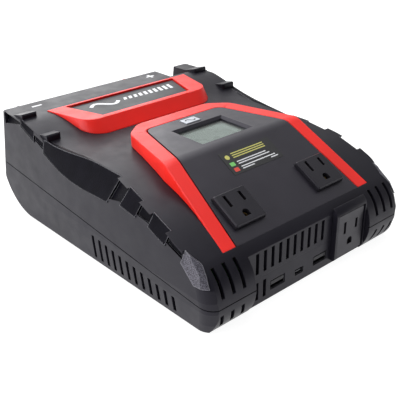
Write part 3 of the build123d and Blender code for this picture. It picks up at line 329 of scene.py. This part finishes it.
WHITE_INK = ink("white_ink", (0.80, 0.81, 0.84))
YELLOW_INK = ink("yellow_ink", (0.62, 0.60, 0.16))
GREEN_INK = ink("green_ink", (0.20, 0.60, 0.16))
RED_INK = ink("red_ink", (0.75, 0.07, 0.05))
FILM = ink("legend_film", (0.018, 0.018, 0.020))

for cad in nodes.values():
    for place in cad.material_slots:
        place.material = FINISHES[place.material.name].material


def soften(name, width, segments=3, angle=25):
    """Rounds the hard edges of a CAD node."""
    piece = nodes[name]
    weld = piece.modifiers.new("weld", "WELD")
    weld.merge_threshold = WELD_REACH
    rounding = piece.modifiers.new("rounding", "BEVEL")
    rounding.width = width
    rounding.segments = segments
    rounding.limit_method = "ANGLE"
    rounding.angle_limit = radians(angle)


SOFTENED = {"panel_frame": 1.3 * MM, "rear_bezel": 1.8 * MM, "left_shoulder_guard": 0.3 * MM,
            "right_shoulder_guard": 0.3 * MM, "left_socket": 0.3 * MM, "right_socket": 0.3 * MM,
            "front_socket": 0.3 * MM, "front_socket_surround": 0.5 * MM}
for name, width in SOFTENED.items():
    soften(name, width)


# ---- printed marks -----------------------------------------------------------------------
def rectangle(centre, width, height):
    x, y = centre
    return [(x - width / 2, y - height / 2), (x + width / 2, y - height / 2),
            (x + width / 2, y + height / 2), (x - width / 2, y + height / 2)]


def soft_square(centre, width, height, radius, steps=5):
    """Rectangle with round corners."""
    outline = []
    for quarter, (sx, sy) in enumerate(((1, 1), (-1, 1), (-1, -1), (1, -1))):
        corner_x = centre[0] + sx * (width / 2 - radius)
        corner_y = centre[1] + sy * (height / 2 - radius)
        for step in range(steps + 1):
            angle = (quarter + step / steps) * pi / 2
            outline.append((corner_x + radius * cos(angle), corner_y + radius * sin(angle)))
    return outline


def slanted_bar(x, y, width, height, lean):
    """Upright bar that leans to the right."""
    return [(x - width / 2 - lean, y - height / 2), (x + width / 2 - lean, y - height / 2),
            (x + width / 2 + lean, y + height / 2), (x - width / 2 + lean, y + height / 2)]


def sine_strips(centre, length, swing, thickness, steps=24):
    """One period of a sine wave as a row of short strips."""
    points = []
    for step in range(steps + 1):
        share = step / steps
        points.append((centre[0] + (share - 0.5) * length,
                       centre[1] + swing * sin(2 * pi * share)))
    upper, lower = [], []
    for index, (x, y) in enumerate(points):
        before = points[max(index - 1, 0)]
        after = points[min(index + 1, steps)]
        along = Vector((after[0] - before[0], after[1] - before[1])).normalized()
        upper.append((x - along.y * thickness / 2, y + along.x * thickness / 2))
        lower.append((x + along.y * thickness / 2, y - along.x * thickness / 2))
    return [[lower[i], lower[i + 1], upper[i + 1], upper[i]] for i in range(steps)]


def surface(origin, lean=0.0):
    """Where a print lies: local x is the object's X, and local y runs back and up the surface."""
    return Matrix.Translation(origin) @ Matrix.Rotation(lean, 4, "X")


def printed(name, outlines, where, finish, thickness=PRINT):
    """Thin raised shapes on a surface, from outlines in millimetres."""
    mesh = bpy.data.meshes.new(name)
    shapes = bmesh.new()
    for outline in outlines:
        lower = [shapes.verts.new((x * MM, y * MM, 0)) for x, y in outline]
        upper = [shapes.verts.new((x * MM, y * MM, thickness)) for x, y in outline]
        shapes.faces.new(upper)
        shapes.faces.new(reversed(lower))
        count = len(outline)
        for index in range(count):
            following = (index + 1) % count
            shapes.faces.new((lower[index], lower[following], upper[following], upper[index]))
    bmesh.ops.remove_doubles(shapes, verts=shapes.verts, dist=0.001 * MM)
    bmesh.ops.recalc_face_normals(shapes, faces=shapes.faces)
    shapes.to_mesh(mesh)
    shapes.free()
    piece = bpy.data.objects.new(name, mesh)
    bpy.context.scene.collection.objects.link(piece)
    piece.matrix_world = where
    mesh.materials.append(finish.material)
    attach(piece, "housing")


KNOB_RADIUS = 10.5 * MM
PLUS_SHIFT = 5 * MM                 # the plus stands a little to the right of its terminal
MARKS_Y = 100 * MM
DECK_Z = 84 * MM
LABEL_LIFT = 5 * MM                 # the graphic lies behind the middle of the label
BARS_ON_LABEL = 10
PANEL_SLOPE = radians(29.5)
PANEL_BEND = 63.5 * MM              # from the panel's front edge to where slope and top meet
LEGEND_Y = -71.7 * MM
SIGN_X = -18.6                      # this and the bars' height are in plain millimetres
BAR_HEIGHT = 0.8


def label_graphic():
    """A sine wave and a row of slanted power bars on the rear label plate."""
    low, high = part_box("label_plate")
    where = surface(Vector((0, (low.y + high.y) / 2 + LABEL_LIFT, high.z)))
    outlines = sine_strips((-26, 0), 26, 4.6, 3.2)
    for index in range(BARS_ON_LABEL):
        outlines.append(slanted_bar(-6 + 5.2 * index, 0, 3.0, 5.0 + 0.55 * index, 1.2))
    printed("label_graphic", outlines, where, WHITE_INK)


def polarity_marks():
    """Minus and plus signs on the deck, in front of the terminals."""
    minus_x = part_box("negative_knob")[0].x + KNOB_RADIUS
    plus_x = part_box("positive_knob")[0].x + KNOB_RADIUS + PLUS_SHIFT
    minus = [rectangle((0, 0), 8.6, 2.2)]
    plus = [rectangle((0, 0), 8.2, 2.2), rectangle((0, 2.6), 2.2, 3.0),
            rectangle((0, -2.6), 2.2, 3.0)]
    for name, outlines, x in (("minus_mark", minus, minus_x), ("plus_mark", plus, plus_x)):
        where = surface(Vector((x, MARKS_Y, DECK_Z)))
        printed(name, outlines, where, WHITE_INK)


def badge_symbol():
    """A generic alternating-current sign on the badge."""
    low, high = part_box("badge_plate")
    where = surface(Vector(((low.x + high.x) / 2, (low.y + high.y) / 2, high.z)))
    printed("badge_symbol", sine_strips((0, 0), 9, 1.8, 1.1), where, FILM)


def legend():
    """Status key on the slope: three coloured signs, each with plain bars beside it."""
    low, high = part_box("control_panel")
    foot_z = high.z + (LEGEND_Y - low.y - PANEL_BEND) * tan(PANEL_SLOPE)
    foot = Vector((0, LEGEND_Y, foot_z))
    outward = Vector((0, -sin(PANEL_SLOPE), cos(PANEL_SLOPE)))
    base = surface(foot, PANEL_SLOPE)
    raised = surface(foot + outward * FILM_THICKNESS, PANEL_SLOPE)
    backing = [soft_square((0.5, 0), 48, 19.5, 0.8)]
    printed("legend_film", backing, base, FILM, FILM_THICKNESS)
    yellow_sign = [soft_square((SIGN_X, 5.0), 3.8, 3.8, 1.8)]
    printed("legend_yellow_sign", yellow_sign, raised, YELLOW_INK)
    green_sign = [soft_square((SIGN_X, -1.3), 4.2, 3.2, 0.5)]
    printed("legend_green_sign", green_sign, raised, GREEN_INK)
    red_sign = [soft_square((SIGN_X, -6.2), 4.2, 3.2, 0.5)]
    printed("legend_red_sign", red_sign, raised, RED_INK)
    yellow = [rectangle((1.5, y), 31, BAR_HEIGHT) for y in (3.4, 5.2, 7.0)]
    printed("legend_yellow_bars", yellow, raised, YELLOW_INK)
    rows = (((0.0, -0.5), 28), ((1.2, -2.4), 30), ((3.0, -5.2), 33), ((-8.0, -7.0), 11),
            ((17.5, -7.0), 7))
    white = [rectangle(centre, width, BAR_HEIGHT) for centre, width in rows]
    printed("legend_white_bars", white, raised, WHITE_INK)


label_graphic()
polarity_marks()
badge_symbol()
legend()


# ---- studio --------------------------------------------------------------------------
CASE_MIDDLE = Vector((0, 0, 0.04))
FLOOR_REACH = 6.0
FLOOR_GREY = (0.30, 0.30, 0.30)
FLOOR_GLOW = 0.92
WORLD_TURN = 0.9                    # direction along Y where each end's brightness is reached
CAMERA_PLACE = (-0.31121, -0.37514, 0.26300)
CAMERA_TURN = radians(-40.994)
CAMERA_TILT = radians(90 - 27.197)
CAMERA_ROLL = radians(-0.974)
SENSOR_WIDTH = 36
FOCAL_LENGTH = 61.16


def floor():
    """Plain pale floor."""
    mesh = bpy.data.meshes.new("floor")
    corners = [(-FLOOR_REACH, -FLOOR_REACH, 0), (FLOOR_REACH, -FLOOR_REACH, 0),
               (FLOOR_REACH, FLOOR_REACH, 0), (-FLOOR_REACH, FLOOR_REACH, 0)]
    mesh.from_pydata(corners, [], [(0, 1, 2, 3)])
    plane = bpy.data.objects.new("floor", mesh)
    bpy.context.scene.collection.objects.link(plane)
    finish = Finish("floor_finish", FLOOR_GREY, 0.9)
    clouds = finish.noise(0.5, 2.0)
    finish.set("Base Color", finish.blend(clouds, (0.29, 0.29, 0.29, 1), (0.31, 0.31, 0.31, 1)))
    finish.set("Emission Color", WHITE)
    finish.set("Emission Strength", FLOOR_GLOW)
    mesh.materials.append(finish.material)


def softbox(name, direction, distance, size, power):
    """Square area light that faces the object."""
    light = bpy.data.lights.new(name, "AREA")
    light.size = size
    light.energy = power
    lamp = bpy.data.objects.new(name, light)
    bpy.context.scene.collection.objects.link(lamp)
    towards = Vector(direction).normalized()
    lamp.location = CASE_MIDDLE + towards * distance
    lamp.rotation_mode = "QUATERNION"
    lamp.rotation_quaternion = towards.to_track_quat("Z", "Y")


def world(front, rear):
    """White to the camera; as a light, brighter behind the object than in front of it."""
    scene_world = bpy.data.worlds.new("studio")
    bpy.context.scene.world = scene_world
    scene_world.use_nodes = True
    tree = scene_world.node_tree
    tree.nodes.clear()
    direction = tree.nodes.new("ShaderNodeTexCoord")
    split = tree.nodes.new("ShaderNodeSeparateXYZ")
    level = tree.nodes.new("ShaderNodeMapRange")
    level.inputs["From Min"].default_value = -WORLD_TURN
    level.inputs["From Max"].default_value = WORLD_TURN
    level.inputs["To Min"].default_value = front
    level.inputs["To Max"].default_value = rear
    lit = tree.nodes.new("ShaderNodeBackground")
    seen = tree.nodes.new("ShaderNodeBackground")
    path = tree.nodes.new("ShaderNodeLightPath")
    choose = tree.nodes.new("ShaderNodeMixShader")
    output = tree.nodes.new("ShaderNodeOutputWorld")
    links = tree.links
    links.new(direction.outputs["Generated"], split.inputs[0])
    links.new(split.outputs["Y"], level.inputs["Value"])
    links.new(level.outputs[0], lit.inputs["Strength"])
    links.new(path.outputs["Is Camera Ray"], choose.inputs[0])
    links.new(lit.outputs[0], choose.inputs[1])
    links.new(seen.outputs[0], choose.inputs[2])
    links.new(choose.outputs[0], output.inputs["Surface"])
    lit.inputs["Color"].default_value = WHITE
    seen.inputs["Color"].default_value = WHITE


def camera():
    """Looks down at the front left corner, as in a product picture."""
    data = bpy.data.cameras.new("camera")
    data.sensor_width = SENSOR_WIDTH
    data.lens = FOCAL_LENGTH
    data.clip_start = 0.01
    holder = bpy.data.objects.new("camera", data)
    bpy.context.scene.collection.objects.link(holder)
    turn = Matrix.Rotation(CAMERA_TURN, 4, "Z")
    look_down = Matrix.Rotation(CAMERA_TILT, 4, "X")
    roll = Matrix.Rotation(CAMERA_ROLL, 4, "Z")
    holder.matrix_world = Matrix.Translation(CAMERA_PLACE) @ turn @ look_down @ roll
    bpy.context.scene.camera = holder


floor()
world(front=0.13, rear=0.95)
softbox("overhead", (0.1, 0.35, 1), distance=1.2, size=1.1, power=9)
softbox("left_side", (-1, 0.25, 0.35), distance=1.1, size=0.9, power=7)
softbox("rear", (0.2, 1, 0.35), distance=1.3, size=1.2, power=9)
camera()
bpy.context.scene.view_settings.view_transform = "Standard"
